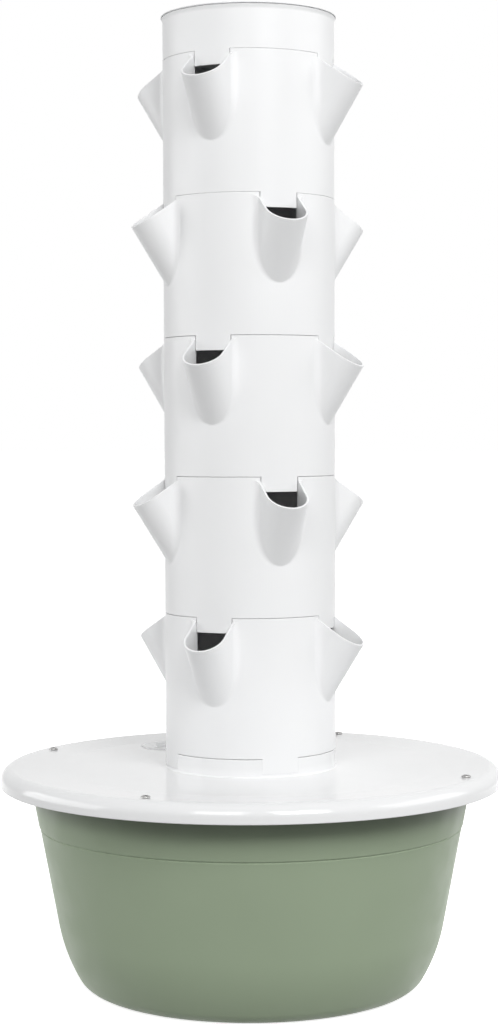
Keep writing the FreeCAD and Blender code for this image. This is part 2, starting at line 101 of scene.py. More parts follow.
# Directions and places of the pocket on the X axis
POCKET_ALONG = Vector((math.sin(POCKET_TILT), 0, math.cos(POCKET_TILT)))
POCKET_OUTWARD = Vector((math.cos(POCKET_TILT), 0, -math.sin(POCKET_TILT)))
POCKET_SIDE = Vector((0, 1, 0))
POCKET_TIP = Vector((POCKET_REACH, 0, PITCH - POCKET_DROP))
POCKET_NOSE = POCKET_TIP - POCKET_OUTWARD * POCKET_OUTER
MOUTH_NORMAL = Vector((math.sin(MOUTH_TILT), 0, math.cos(MOUTH_TILT)))

# Shower cap, and its drain slots as place, width and length
CAP_WALL_TOP = 54.4
CAP_FLARE = 1.6
CAP_FLARE_HEIGHT = 4.5
CAP_FLARE_FILLET = 10.0
CAP_FLOOR = 3.0
CAP_SLEEVE = 20.0
CAP_DRAIN = (86.0, 7.0, 40.0)
CAP_DRAIN_TOP = 16.0

# Top lid
TOP_LID_PLATE = 2.6
TOP_LID_OVERHANG = 2.4
TOP_LID_GROOVE = 0.9
TOP_LID_GROOVE_DEPTH = 2.5
TOP_LID_PLUG = 9.0
TOP_PANEL = 84.0
TOP_PANEL_SLOPE = 1.0
TOP_PANEL_RISE = 0.3

# Reservoir; its heights and those of its lid and filling port count from the foot
TUB_HEIGHT = 280.0
TUB_WALL = 3.2
MOUTH = 286.3
WALL_ANGLE = 10.6
WALL_SLOPE = math.tan(math.radians(WALL_ANGLE))
HAUNCH = 210.0
HAUNCH_ANGLE = 30.3
CORNER = 29.0
FOOT_WIDTH = 15.0
FOOT_RECESS = 2.0
FOOT_EDGE = 1.0
FOOT_EDGE_ANGLE = 88.0
FLOOR_EDGE_ANGLE = 75.0
FLOOR_EDGE_REACH = 5.0
STEP_HEIGHT = 209.8
STEP_DEPTH = 1.0
STEP_GROOVE = 0.7
STEP_ROUND = 1.8
FLANGE_BOTTOM = 276.0
FLANGE_CLEARANCE = 0.8
INNER_WALL_RUN = 30.0
BOSS_RADIUS = 7.5
BOSS_BOTTOM = 264.0
BOSS_TOP = 278.0
WEB_HALF = 2.5
WEB_SINK = 0.5

# Lid of the reservoir, and its drain slots as place, width and length
LID_RADIUS = 323.3
LID_TOP = 283.5
LID_CROWN = 2.5
LID_ROUND = 16.0
LID_WALL = 3.5
LID_FLAT = 244.3
SLOPE_TOP_WIDTH = 20.0
SLOPE_TOP_SHARE = 0.75
SLOPE_FOOT_WIDTH = 12.0
SLOPE_FOOT_RISE = 0.3
COLLAR_FILLET = 2.0
SKIRT_BOTTOM = 262.7
PIPE_GUIDE = 13.0
GUIDE_WALL = 3.0
GUIDE_EDGE = 0.5
GUIDE_RISE = 10.0
GUIDE_BOTTOM = 268.0
RIBS = 6
RIB_HALF = 1.5
RIB_END = 279.4
RIB_TOP = 281.7
LID_DRAIN = (60.0, 16.0, 44.0)
LID_DRAIN_BOTTOM = 270.0
PORT_CUT_BOTTOM = 250.0
LID_CUT_TOP = 300.0

# Filling port, as radius and azimuth of its place, and its cap
PORT = (204.0, 147.5)
PORT_RADIUS = 34.0
PORT_SEAT = 40.5
PORT_SEAT_HEIGHT = 281.5
FILL_DISC = 40.0
FILL_DISC_TOP = 284.7
FILL_RIM = 36.0
FILL_PANEL = 35.2
FILL_PANEL_TOP = 284.2
FILL_PLUG = 33.5
FILL_PLUG_BORE = 31.3
FILL_PLUG_BOTTOM = 272.5
GRIP_HALF_LENGTH = 25.0
GRIP_HALF_WIDTH = 4.5
GRIP_HEIGHT = 5.5
GRIP_SINK = 0.3
GRIP_STEPS = 16
GRIP_ROUND_STEPS = 8

# Screws of the lid; the head's outline runs from its lower edge to its middle, its heights from the seat
SCREWS = 4
SCREW_CIRCLE = 294.8
SCREW_LENGTH = 14.0
SCREW_SHANK = 2.6
SCREW_HEAD = 5.8
SCREW_HEAD_OUTLINE = [
    (5.5, 0.0), (5.8, 0.3), (5.8, 1.3), (5.55, 1.9),
    (5.0, 2.4), (4.0, 2.75), (2.4, 2.95), (0, 3.0),
]
RECESS_HALF_LENGTH = 3.2
RECESS_HALF_WIDTH = 0.75
RECESS_BOTTOM = 1.4
RECESS_CUT_TOP = 4.0

# How fine the round forms are
SEGMENTS = 192
PORT_SEGMENTS = 96
SCREW_SEGMENTS = 48
BOSS_SEGMENTS = 32

# Radius below which a point lies on the axis, and the angle from which an edge stays sharp
ON_AXIS = 1e-6
SHARP_FROM = math.radians(35.0)

# Share of a small rounded edge at which its middle point lies
EDGE_KNEE = 0.3

# Faces inside the tower look inward by more than this and lie at most this far past its bore
INWARD_LEAN = 0.2
INSIDE_MARGIN = 0.3

# Colours, as linear red, green and blue
TOWER_WHITE = (0.86, 0.865, 0.87)
LID_WHITE = (0.84, 0.845, 0.85)
TUB_GREEN = (0.325, 0.397, 0.279)
RUBBER_BLACK = (0.022, 0.022, 0.023)
FERRITE_DARK = (0.05, 0.05, 0.052)
FERRITE_PALE = (0.11, 0.11, 0.115)
STEEL = (1.0, 0.99, 0.975)
WHITE = (1, 1, 1, 1)

# What all plastics share
PLASTIC_IOR = 1.49
ROUGHNESS_SPREAD = 0.12

# Camera; its focal length was fitted in pixels of the photograph
PHOTO_FOCAL = 2189
PHOTO_HEIGHT = 1024
CAMERA_AZIMUTH = math.radians(24.9)
CAMERA_DISTANCE = 2.829
CAMERA_HEIGHT = 0.7193
CAMERA_PITCH = 0.03797
CAMERA_ROLL = 0.0036
CAMERA_SHIFT = -0.0009
CAMERA_SENSOR = 36.0
CAMERA_LENS = PHOTO_FOCAL * CAMERA_SENSOR / PHOTO_HEIGHT
CAMERA_FAR = 200

# World and floor; the glow grows between the two distances of its ends
SKY_LIGHT = 0.12
FLOOR_HALF = 60.0
FLOOR_LIT = 0.8
FLOOR_GLOW = 0.8
FLOOR_GLOW_FAR = 1.0
FLOOR_GLOW_ENDS = (1.5, 5.0)
FLOOR_BOUNCE = 0.35

# Lamps, as name, azimuth from the camera's side in degrees, height, width and watts
LAMP_DISTANCE = 4.5
LAMP_TALL = 2.4
LAMP_TARGET = 0.6
FRONT_LAMPS = [
    ("side_left", -95, 1.4, 4.4, 84),
    ("front_left", -15, 3.5, 2.0, 77),
    ("front_right", 24, 3.5, 2.0, 162),
    ("side_right", 90, 2.7, 4.4, 76),
]
BACK_LAMP = ("back", 155, 2.4, 4.4, 70)


def polar(radius, degrees, height=0.0):
    angle = math.radians(degrees)
    return Vector((radius * math.cos(angle), radius * math.sin(angle), height))


# Outlines

def fillet(before, corner, after, radius, steps):
    """Points of the arc that rounds one corner of an outline."""
    corner = Vector(corner)
    back = (Vector(before) - corner).normalized()
    ahead = (Vector(after) - corner).normalized()
    half = back.angle(ahead) / 2
    reach = radius / math.tan(half)
    centre = corner + (back + ahead).normalized() * (radius / math.sin(half))
    first = corner + back * reach - centre
    last = corner + ahead * reach - centre
    start = math.atan2(first.y, first.x)
    turn = math.atan2(last.y, last.x) - start
    turn = (turn + math.pi) % (2 * math.pi) - math.pi
    points = []
    for index in range(steps + 1):
        angle = start + turn * index / steps
        points.append((centre.x + radius * math.cos(angle), centre.y + radius * math.sin(angle)))
    return points


def rounded(corners, steps):
    """Closed outline from (radius, height, fillet) corners."""
    points = []
    for index, corner in enumerate(corners):
        if corner[2]:
            before = corners[index - 1][:2]
            after = corners[(index + 1) % len(corners)][:2]
            points += fillet(before, corner[:2], after, corner[2], steps)
        else:
            points.append(corner[:2])
    return points


def arc(centre, radius, start, end, steps):
    """Points of an arc, its angles in degrees below the horizontal."""
    points = []
    for index in range(steps + 1):
        angle = math.radians(start + (end - start) * index / steps)
        points.append((centre[0] + radius * math.cos(angle), centre[1] - radius * math.sin(angle)))
    return points


# Closed shells, each a list of vertices and a list of faces

def lathe(points, segments=SEGMENTS):
    """Turns a closed outline around the Z axis; points on the axis become poles."""
    vertices = []
    rows = []
    for radius, height in points:
        if radius < ON_AXIS:
            rows.append([len(vertices)] * segments)
            vertices.append(Vector((0, 0, height)))
            continue
        rows.append(list(range(len(vertices), len(vertices) + segments)))
        for step in range(segments):
            vertices.append(polar(radius, step * 360.0 / segments, height))
    faces = []
    for index, row in enumerate(rows):
        following = rows[(index + 1) % len(rows)]
        for step in range(segments):
            ahead = (step + 1) % segments
            corners = [row[step], row[ahead], following[ahead], following[step]]
            face = list(dict.fromkeys(corners))
            if len(face) > 2:
                faces.append(face)
    return vertices, faces


def prism(outline, direction):
    """Straight bar from a flat outline of 3-D points."""
    count = len(outline)
    vertices = [Vector(point) for point in outline]
    vertices += [point + Vector(direction) for point in vertices]
    faces = [list(range(count))[::-1], list(range(count, 2 * count))]
    for index in range(count):
        ahead = (index + 1) % count
        faces.append([index, ahead, ahead + count, index + count])
    return vertices, faces


def block(low, high):
    x0, y0, z0 = low
    x1, y1, z1 = high
    base = [(x0, y0, z0), (x1, y0, z0), (x1, y1, z0), (x0, y1, z0)]
    return prism(base, (0, 0, z1 - z0))


def grid_shell(columns):
    """Skin over columns of points; each column is a closed loop, and the ends are capped."""
    height = len(columns[0])
    vertices = [point for column in columns for point in column]
    faces = []
    for across in range(len(columns) - 1):
        near = across * height
        far = near + height
        for up in range(height):
            ahead = (up + 1) % height
            faces.append([near + up, near + ahead, far + ahead, far + up])
    faces.append(list(range(height))[::-1])
    last = (len(columns) - 1) * height
    faces.append(list(range(last, last + height)))
    return vertices, faces


def turned(shell, degrees):
    spin = Matrix.Rotation(math.radians(degrees), 3, "Z")
    return [spin @ vertex for vertex in shell[0]], shell[1]


def shifted(shell, offset):
    return [vertex + Vector(offset) for vertex in shell[0]], shell[1]


def around(shell, count, start=0.0):
    return [turned(shell, start + index * 360.0 / count) for index in range(count)]


def slots(size, count, start, low, high):
    """Straight slots around the Z axis, from their place, width and length."""
    place, width, length = size
    shell = block((place - width / 2, -length / 2, low), (place + width / 2, length / 2, high))
    return around(shell, count, start)


# Objects

def placed(name, data):
    """New object in the scene, from a mesh, a lamp's data or a camera's data."""
    result = bpy.data.objects.new(name, data)
    bpy.context.scene.collection.objects.link(result)
    return result


def solid(name, shells):
    """One object from closed shells, with all faces turned outward."""
    mesh = bpy.data.meshes.new(name)
    vertices = []
    faces = []
    for shell_vertices, shell_faces in shells:
        base = len(vertices)
        vertices += [vertex * MM for vertex in shell_vertices]
        faces += [[base + index for index in face] for face in shell_faces]
    mesh.from_pydata(vertices, [], faces)
    mesh.validate()
    turn_outward(mesh)
    return placed(name, mesh)


def turn_outward(mesh):
    work = bmesh.new()
    work.from_mesh(mesh)
    bmesh.ops.recalc_face_normals(work, faces=work.faces)
    work.to_mesh(mesh)
    work.free()


def apply_modifiers(piece):
    """Replaces the piece's mesh by the result of its modifiers."""
    graph = bpy.context.evaluated_depsgraph_get()
    result = bpy.data.meshes.new_from_object(piece.evaluated_get(graph))
    piece.modifiers.clear()
    piece.data = result


def cut(piece, *cutters):
    """Takes closed shells out of a piece, one list of them after the other."""
    tools = []
    for shells in cutters:
        tool = solid("cutter", shells)
        modifier = piece.modifiers.new("cut", "BOOLEAN")
        modifier.operation = "DIFFERENCE"
        modifier.solver = "EXACT"
        modifier.object = tool
        tools.append(tool)
    apply_modifiers(piece)
    for tool in tools:
        bpy.data.objects.remove(tool)


def merged(name, pieces):
    """Joins pieces into one object and keeps each one's faces apart."""
    mesh = bpy.data.meshes.new(name)
    vertices = []
    faces = []
    for piece in pieces:
        base = len(vertices)
        vertices += [vertex.co.copy() for vertex in piece.data.vertices]
        faces += [[base + index for index in face.vertices] for face in piece.data.polygons]
        bpy.data.objects.remove(piece)
    mesh.from_pydata(vertices, [], faces)
    return placed(name, mesh)


def copied(piece, name, degrees, height):
    """Copy of a piece, turned around the Z axis and raised."""
    mesh = piece.data.copy()
    mesh.name = name
    spin = Matrix.Rotation(math.radians(degrees), 4, "Z")
    mesh.transform(Matrix.Translation((0, 0, height * MM)) @ spin)
    return placed(name, mesh)


def smooth(piece):
    """Smooth shading that keeps the flat and turned faces true and breaks at sharp edges."""
    mesh = piece.data
    for face in mesh.polygons:
        face.use_smooth = True
    mesh.set_sharp_from_angle(angle=SHARP_FROM)
    weights = piece.modifiers.new("weights", "WEIGHTED_NORMAL")
    weights.keep_sharp = True
    weights.weight = 100


def finished(piece, body, slot, materials, *nodes):
    """Smooths a piece, dresses it and gives it its place in the frame."""
    smooth(piece)
    piece.data.materials.clear()
    for material in materials:
        piece.data.materials.append(material)
    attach(piece, body)
    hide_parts(*nodes)


# Materials

def add_node(tree, kind, inputs=None, **settings):
    """New node, with settings and values for its inputs."""
    node = tree.nodes.new(kind)
    for name, value in settings.items():
        setattr(node, name, value)
    for name, value in (inputs or {}).items():
        node.inputs[name].default_value = value
    return node


class Graph:
    """Short way to write a node material."""

    def __init__(self, name):
        self.material = bpy.data.materials.new(name)
        self.material.use_nodes = True
        self.tree = self.material.node_tree
        self.shader = self.tree.nodes["Principled BSDF"]
        self.place = self.add("ShaderNodeTexCoord").outputs["Object"]

    def add(self, kind, inputs=None, **settings):
        return add_node(self.tree, kind, inputs, **settings)

    def link(self, source, socket):
        self.tree.links.new(source, socket)

    def set(self, name, value):
        """Gives one of the shader's inputs a value for the whole piece."""
        self.shader.inputs[name].default_value = value

    def noise(self, scale, detail, stretch=(1, 1, 1)):
        mapping = self.add("ShaderNodeMapping", {"Scale": stretch})
        self.link(self.place, mapping.inputs["Vector"])
        node = self.add("ShaderNodeTexNoise", {"Scale": scale, "Detail": detail, "Roughness": 0.5})
        self.link(mapping.outputs["Vector"], node.inputs["Vector"])
        return node.outputs["Fac"]

    def ramp(self, factor, low, high, low_value, high_value):
        """Goes softly from one value to the other while the factor goes from low to high."""
        inputs = {"From Min": low, "From Max": high, "To Min": low_value, "To Max": high_value}
        node = self.add("ShaderNodeMapRange", inputs, interpolation_type="SMOOTHSTEP")
        self.link(factor, node.inputs["Value"])
        return node.outputs["Result"]

    def calculate(self, operation, first, second):
        """Sum or product of two values, each a source or a number."""
        node = self.add("ShaderNodeMath", operation=operation)
        for socket, value in zip(node.inputs, (first, second)):
            if isinstance(value, (int, float)):
                socket.default_value = value
            else:
                self.link(value, socket)
        return node.outputs["Value"]

    def mix(self, factor, first, second):
        """Blend of two colours."""
        inputs = {"A": (*first, 1.0), "B": (*second, 1.0)}
        node = self.add("ShaderNodeMix", inputs, data_type="RGBA")
        self.link(factor, node.inputs["Factor"])
        return node.outputs["Result"]

    def colour(self, source):
        self.link(source, self.shader.inputs["Base Color"])

    def rough(self, source):
        self.link(source, self.shader.inputs["Roughness"])

    def height(self):
        """Height above the foot, in metres."""
        axes = self.add("ShaderNodeSeparateXYZ")
        self.link(self.place, axes.inputs["Vector"])
        return axes.outputs["Z"]

    def tint(self, amount):
        """Multiplies the base colour by an amount that varies over the piece."""
        source = self.shader.inputs["Base Color"].links[0].from_socket
        node = self.add("ShaderNodeVectorMath", operation="SCALE")
        self.link(source, node.inputs["Vector"])
        self.link(amount, node.inputs["Scale"])
        self.colour(node.outputs["Vector"])

    def paint_shade_by_height(self, low, high, below, above, waver):
        """Paints shade by height: tints the piece by one amount below a height and by another above it, with
        a wavering limit.
        """
        wobble = self.calculate("MULTIPLY", self.noise(7.0, detail=3.0), waver)
        place = self.calculate("ADD", self.height(), wobble)
        self.tint(self.ramp(place, low, high, below, above))

    def edges(self, radius):
        """1 along edges and corners, up to a radius in metres, and 0 on smooth faces."""
        bevel = self.add("ShaderNodeBevel", {"Radius": radius}, samples=4)
        geometry = self.add("ShaderNodeNewGeometry")
        alike = self.add("ShaderNodeVectorMath", operation="DOT_PRODUCT")
        self.link(bevel.outputs["Normal"], alike.inputs[0])
        self.link(geometry.outputs["Normal"], alike.inputs[1])
        return self.ramp(alike.outputs["Value"], low=0.93, high=0.995, low_value=1.0, high_value=0.0)

    def wear(self, radius, tone, dull):
        """Rubs the edges in patches: changes their colour and makes them duller."""
        grain = self.noise(110.0, detail=4.0)
        patches = self.ramp(grain, low=0.40, high=0.62, low_value=0.25, high_value=1.0)
        worn = self.calculate("MULTIPLY", self.edges(radius), patches)
        self.tint(self.ramp(worn, low=0.0, high=1.0, low_value=1.0, high_value=tone))
        source = self.shader.inputs["Roughness"].links[0].from_socket
        self.rough(self.calculate("ADD", source, self.calculate("MULTIPLY", worn, dull)))

    def bump(self, *layers):
        """Adds height layers, each a source and its height in metres."""
        normal = None
        for source, height in layers:
            node = self.add("ShaderNodeBump", {"Strength": 1.0, "Distance": height})
            self.link(source, node.inputs["Height"])
            if normal:
                self.link(normal, node.inputs["Normal"])
            normal = node.outputs["Normal"]
        self.link(normal, self.shader.inputs["Normal"])


def shade(colour, amount):
    return tuple(min(channel * amount, 1.0) for channel in colour)


def moulded(name, colour, roughness, variation, peel=0.00002, flow=0.00006):
    """Injection-moulded plastic: faint clouding, a fine skin and long shallow flow waves."""
    graph = Graph(name)
    clouds = graph.noise(9.0, detail=3.0)
    graph.colour(graph.mix(clouds, shade(colour, 1.0 - variation), shade(colour, 1.0 + variation)))
    patches = graph.noise(30.0, detail=4.0)
    smoother = roughness * (1.0 - ROUGHNESS_SPREAD)
    rougher = roughness * (1.0 + ROUGHNESS_SPREAD)
    graph.rough(graph.ramp(patches, low=0.3, high=0.7, low_value=smoother, high_value=rougher))
    skin = graph.noise(1400.0, detail=2.0)
    waves = graph.noise(14.0, detail=1.0, stretch=(1, 1, 0.35))
    graph.bump((skin, peel), (waves, flow))
    graph.set("IOR", PLASTIC_IOR)
    return graph


def tower_plastic():
    """White tower plastic, with painted shade that makes it a little greyer just above the reservoir."""
    graph = moulded("tower_white", TOWER_WHITE, roughness=0.4, variation=0.012)
    # Painted shade: greyer low on the tower, just above the lid of the reservoir.
    graph.paint_shade_by_height(low=0.30, high=0.46, below=0.93, above=1.0, waver=0.06)
    graph.wear(radius=0.0015, tone=0.93, dull=0.15)
    return graph.material


def lid_plastic():
    """Glossy white plastic, with painted shade that makes the collar a trace darker than the plate."""
    graph = moulded("lid_white", LID_WHITE, roughness=0.11, variation=0.01, peel=0.00001, flow=0.00004)
    # Painted shade on the collar, above the plate.
    graph.paint_shade_by_height(low=0.287, high=0.297, below=1.0, above=0.96, waver=0.002)
    graph.wear(radius=0.0015, tone=0.93, dull=0.2)
    return graph.material


def cap_plastic():
    graph = moulded("cap_white", LID_WHITE, roughness=0.3, variation=0.015)
    graph.wear(radius=0.0012, tone=0.9, dull=0.15)
    return graph.material


def tub_plastic():
    """Sage green plastic, with painted shade under the lid and scuffed at its edges."""
    graph = moulded("reservoir_green", TUB_GREEN, roughness=0.42, variation=0.04, peel=0.00003, flow=0.00008)
    # Painted shade: much darker just under the lid's overhang.
    graph.paint_shade_by_height(low=0.228, high=0.262, below=1.0, above=0.42, waver=0.008)
    graph.wear(radius=0.003, tone=1.12, dull=0.15)
    graph.set("Specular IOR Level", 0.25)
    return graph.material


def dark_plastic(name, level, roughness):
    colour = (level, level, level * 1.02)
    return moulded(name, colour, roughness, variation=0.12, peel=0.00003, flow=0.00003).material


def rubber():
    graph = moulded("rubber_black", RUBBER_BLACK, roughness=0.75, variation=0.2, peel=0.00006, flow=0.00002)
    graph.set("Specular IOR Level", 0.3)
    return graph.material


def steel(name, roughness, low, high):
    """Steel between two levels of a slightly warm tint, with a fine grain drawn out along its length."""
    graph = Graph(name)
    graph.set("Metallic", 1.0)
    clouds = graph.noise(400.0, detail=3.0)
    graph.colour(graph.mix(clouds, shade(STEEL, low), shade(STEEL, high)))
    brushed = graph.noise(2500.0, detail=2.0, stretch=(1, 1, 0.1))
    polished = roughness * 0.7
    dull = roughness * 1.3
    graph.rough(graph.ramp(brushed, low=0.3, high=0.7, low_value=polished, high_value=dull))
    graph.bump((brushed, 0.000004))
    return graph.material


def ferrite():
    """Pressed and fired magnet: dull, grainy and mottled."""
    graph = Graph("magnet")
    grain = graph.noise(1800.0, detail=4.0)
    graph.colour(graph.mix(grain, FERRITE_DARK, FERRITE_PALE))
    graph.rough(graph.ramp(grain, low=0.3, high=0.7, low_value=0.5, high_value=0.7))
    graph.bump((grain, 0.00004))
    graph.set("Metallic", 0.4)
    return graph.material


# Tower pieces

def tab_gap():
    """What is taken away between two drop tabs, around the spigot and below the seam."""
    knee = EDGE_KNEE * SEAM_EDGE
    outside = TOWER + TAB_CUT_OUTSIDE
    inside = SPIGOT_BORE - TAB_CUT_INSIDE
    bottom = -TAB_DROP - TAB_CUT_BELOW
    profile = [
        (SPIGOT, 0.0),
        (TOWER - SEAM_EDGE, 0.0),
        (TOWER - knee, knee),
        (TOWER + TAB_CUT_SKIN, SEAM_EDGE),
        (outside, SEAM_EDGE),
        (outside, bottom),
        (inside, bottom),
        (inside, -SPIGOT_DEPTH),
        (SPIGOT, -SPIGOT_DEPTH),
    ]
    span = 360.0 / POCKETS
    columns = []
    for index in range(TAB_GAP_STEPS + 1):
        column = []
        for radius, height in profile:
            start = math.degrees(math.asin(TAB_HALF / radius))
            angle = start + (span - 2 * start) * index / TAB_GAP_STEPS
            column.append(polar(radius, angle, height))
        columns.append(column)
    return grid_shell(columns)


def pocket_path(flank, flank_steps, nose_steps):
    """Places across a pocket: from one flank round the nose to the other, as direction and setback."""
    places = []
    for index in range(flank_steps):
        places.append((POCKET_SIDE, flank * (1 - index / flank_steps)))
    for index in range(nose_steps + 1):
        angle = math.pi * index / nose_steps
        normal = POCKET_SIDE * math.cos(angle) + POCKET_OUTWARD * math.sin(angle)
        places.append((normal, 0.0))
    for index in range(flank_steps):
        places.append((-POCKET_SIDE, flank * (index + 1) / flank_steps))
    return places


def pocket_line(place, half_width):
    """Start of the line along a pocket at that place of its cross-section."""
    normal, setback = place
    return POCKET_NOSE + normal * half_width - POCKET_OUTWARD * setback


def run_to_tube(start, radius):
    """Distance along a pocket line at which it comes in to a radius."""
    reach = math.sqrt(radius ** 2 - start.y ** 2)
    return (reach - start.x) / POCKET_ALONG.x


def run_to_mouth(start):
    return (POCKET_TIP - start).dot(MOUTH_NORMAL) / POCKET_ALONG.dot(MOUTH_NORMAL)


def wall_end(place, half_width, radius):
    """Lower end of a pocket's wall: at a radius, or below the rim where the rim is lower than that."""
    start = pocket_line(place, half_width)
    low = run_to_tube(start, radius)
    return start + POCKET_ALONG * min(low, run_to_mouth(start) - LEAST_WALL)


def pocket_wall():
    """Scoop of even wall, with a softly rounded rim; its lower end hides in the tube's wall."""
    inner = POCKET_HALF
    outer = POCKET_OUTER
    edge = RIM_EDGE
    knee = EDGE_KNEE * edge
    rim = [(outer, RIM_DEPTH), (outer, edge), (outer - knee, knee), (outer - edge, 0.0)]
    rim += [(inner + edge, 0.0), (inner + knee, knee), (inner, edge), (inner, RIM_DEPTH)]
    columns = []
    for place in pocket_path(POCKET_FLANK, flank_steps=10, nose_steps=40):
        column = [wall_end(place, outer, TOWER - POCKET_SINK)]
        for half_width, below in rim:
            start = pocket_line(place, half_width)
            column.append(start + POCKET_ALONG * (run_to_mouth(start) - below))
        column.append(wall_end(place, inner, BORE - BORE_SINK))
        columns.append(column)
    return grid_shell(columns)


def pocket_hollow():
    """Bar that opens the tube's wall for a pocket, up through the seam."""
    half_width = POCKET_HALF + HOLLOW_GAP
    places = pocket_path(HOLLOW_FLANK, flank_steps=1, nose_steps=40)
    outline = [pocket_line(place, half_width) - POCKET_ALONG * HOLLOW_BELOW for place in places]
    return prism(outline, POCKET_ALONG * HOLLOW_LENGTH)


def pocket_root():
    """Soft fillet where a pocket grows out of the tube, small below its nose and wide on its flanks."""
    columns = []
    for place in pocket_path(FILLET_FLANK, flank_steps=12, nose_steps=48):
        sideways = abs(place[0].dot(POCKET_SIDE))
        radius = NOSE_FILLET + (FLANK_FILLET - NOSE_FILLET) * sideways
        start = pocket_line(place, POCKET_OUTER + radius)
        centre = start + POCKET_ALONG * run_to_tube(start, TOWER + radius)
        on_tube = -Vector((centre.x, centre.y, 0)).normalized()
        on_pocket = -place[0]
        column = []
        for index in range(FILLET_STEPS + 1):
            direction = on_tube.slerp(on_pocket, index / FILLET_STEPS)
            column.append(centre + direction * radius)
        inside = pocket_line(place, POCKET_OUTER - FILLET_SINK)
        column.append(inside + POCKET_ALONG * run_to_tube(inside, TOWER - FILLET_SINK))
        columns.append(column)
    return grid_shell(columns)


def trimmed_root():
    """The fillet, cut off flush with the mouth of the pocket."""
    vertices, faces = pocket_root()
    work = bmesh.new()
    made = [work.verts.new(vertex) for vertex in vertices]
    for face in faces:
        work.faces.new([made[index] for index in face])
    trimmed = bmesh.ops.bisect_plane(
        work,
        geom=work.verts[:] + work.edges[:] + work.faces[:],
        plane_co=POCKET_TIP - MOUTH_NORMAL * FILLET_BELOW_MOUTH,
        plane_no=MOUTH_NORMAL,
        clear_outer=True,
    )
    edges = [item for item in trimmed["geom_cut"] if isinstance(item, bmesh.types.BMEdge)]
    bmesh.ops.edgeloop_fill(work, edges=edges)
    work.verts.index_update()
    shell = (
        [vertex.co.copy() for vertex in work.verts],
        [[vertex.index for vertex in face.verts] for face in work.faces],
    )
    work.free()
    return shell


def section(gap):
    """One growing section, its lower seam at height 0, a pocket on the X axis and a gap above it."""
    tube = solid("tube", [lathe(rounded([
        (TOWER, -TAB_DROP, TAB_EDGE),
        (TOWER, PITCH - gap, SEAM_EDGE),
        (BORE, PITCH - gap, BORE_EDGE),
        (BORE, LEDGE, 0),
        (SPIGOT_BORE, LEDGE, SPIGOT_EDGE),
        (SPIGOT_BORE, -TAB_DROP, SPIGOT_EDGE),
    ], 3))])
    cut(tube, around(tab_gap(), POCKETS, HALF_TURN), around(pocket_hollow(), POCKETS))
    pockets = solid("pockets", around(pocket_wall(), POCKETS) + around(trimmed_root(), POCKETS))
    return merged("section", [tube, pockets])


def darken_inside(piece):
    """Gives the faces that look at the tower's axis the second material, a dark one that paints the shade
    inside the tower.
    """
    for face in piece.data.polygons:
        centre = face.center / MM
        flat = Vector((centre.x, centre.y, 0))
        inward = face.normal.dot(flat.normalized()) < -INWARD_LEAN
        if flat.length < BORE + INSIDE_MARGIN and inward:
            face.material_index = 1


def dress_sections(plastic, dark):
    """Five equal sections; the two uppermost fit so well that their upper seams hardly show."""
    lower = section(SEAM_GAP)
    upper = section(TIGHT_SEAM_GAP)
    for index in range(SECTIONS):
        name = "section_%d" % (index + 1)
        pattern = lower if index < SECTIONS - TIGHT_SECTIONS else upper
        turn = HALF_TURN * (index % 2)
        piece = copied(pattern, name + "_shell", turn, FIRST_SEAM + index * PITCH)
        darken_inside(piece)
        finished(piece, name, "tower_white", [plastic, dark], name)
    bpy.data.objects.remove(lower)
    bpy.data.objects.remove(upper)


def dress_shower_cap(plastic, dark):
    """Short section with a slotted floor, a sleeve for the riser and a slightly flared top."""
    top = CAP_WALL_TOP
    floor = LEDGE + CAP_FLOOR
    sleeve = PIPE_GUIDE + GUIDE_WALL
    cap = solid("cap", [lathe(rounded([
        (TOWER, -TAB_DROP, TAB_EDGE),
        (TOWER, top - CAP_FLARE_HEIGHT, CAP_FLARE_FILLET),
        (TOWER + CAP_FLARE, top, 0.5),
        (BORE, top, 0.5),
        (BORE, floor, 1.0),
        (sleeve, floor, 1.0),
        (sleeve, floor + CAP_SLEEVE, GUIDE_EDGE),
        (PIPE_GUIDE, floor + CAP_SLEEVE, GUIDE_EDGE),
        (PIPE_GUIDE, LEDGE, GUIDE_EDGE),
        (SPIGOT_BORE, LEDGE, SPIGOT_EDGE),
        (SPIGOT_BORE, -TAB_DROP, SPIGOT_EDGE),
    ], 3))])
    drains = slots(CAP_DRAIN, POCKETS, HALF_TURN, 0.0, CAP_DRAIN_TOP)
    cut(cap, around(tab_gap(), POCKETS, HALF_TURN), drains)
    seam = FIRST_SEAM + SECTIONS * PITCH
    piece = copied(cap, "shower_cap_shell", HALF_TURN, seam)
    bpy.data.objects.remove(cap)
    darken_inside(piece)
    finished(piece, "shower_cap", "tower_white", [plastic, dark], "shower_cap")


def dress_top_lid(plastic):
    """Thin disc with a groove under its edge, a plug ring and a flat raised panel."""
    edge = TOWER + TOP_LID_OVERHANG
    groove = edge - TOP_LID_GROOVE_DEPTH
    shoulder = TOP_LID_PLATE - TOP_PANEL_RISE
    piece = solid("top_lid_disc", [lathe(rounded([
        (0, 0, 0),
        (SPIGOT_BORE, 0, SPIGOT_EDGE),
        (SPIGOT_BORE, -TOP_LID_PLUG, SPIGOT_EDGE),
        (SPIGOT, -TOP_LID_PLUG, SPIGOT_EDGE),
        (SPIGOT, 0, 0.3),
        (groove, 0, 0.2),
        (groove, TOP_LID_GROOVE, 0.2),
        (edge, TOP_LID_GROOVE, 0.4),
        (edge, shoulder, 0.6),
        (TOP_PANEL + TOP_PANEL_SLOPE, shoulder, 1.0),
        (TOP_PANEL, TOP_LID_PLATE, 1.0),
        (0, TOP_LID_PLATE, 0),
    ], 4))])
    seat = FIRST_SEAM + SECTIONS * PITCH + CAP_WALL_TOP
    piece.data.transform(Matrix.Translation((0, 0, seat * MM)))
    finished(piece, "top_lid", "tower_white", [plastic], "top_lid")


# Reservoir pieces

def tub_wall(height):
    """Radius of the tub's straight wall, without the step, at a height."""
    return MOUTH - (TUB_HEIGHT - height) * WALL_SLOPE


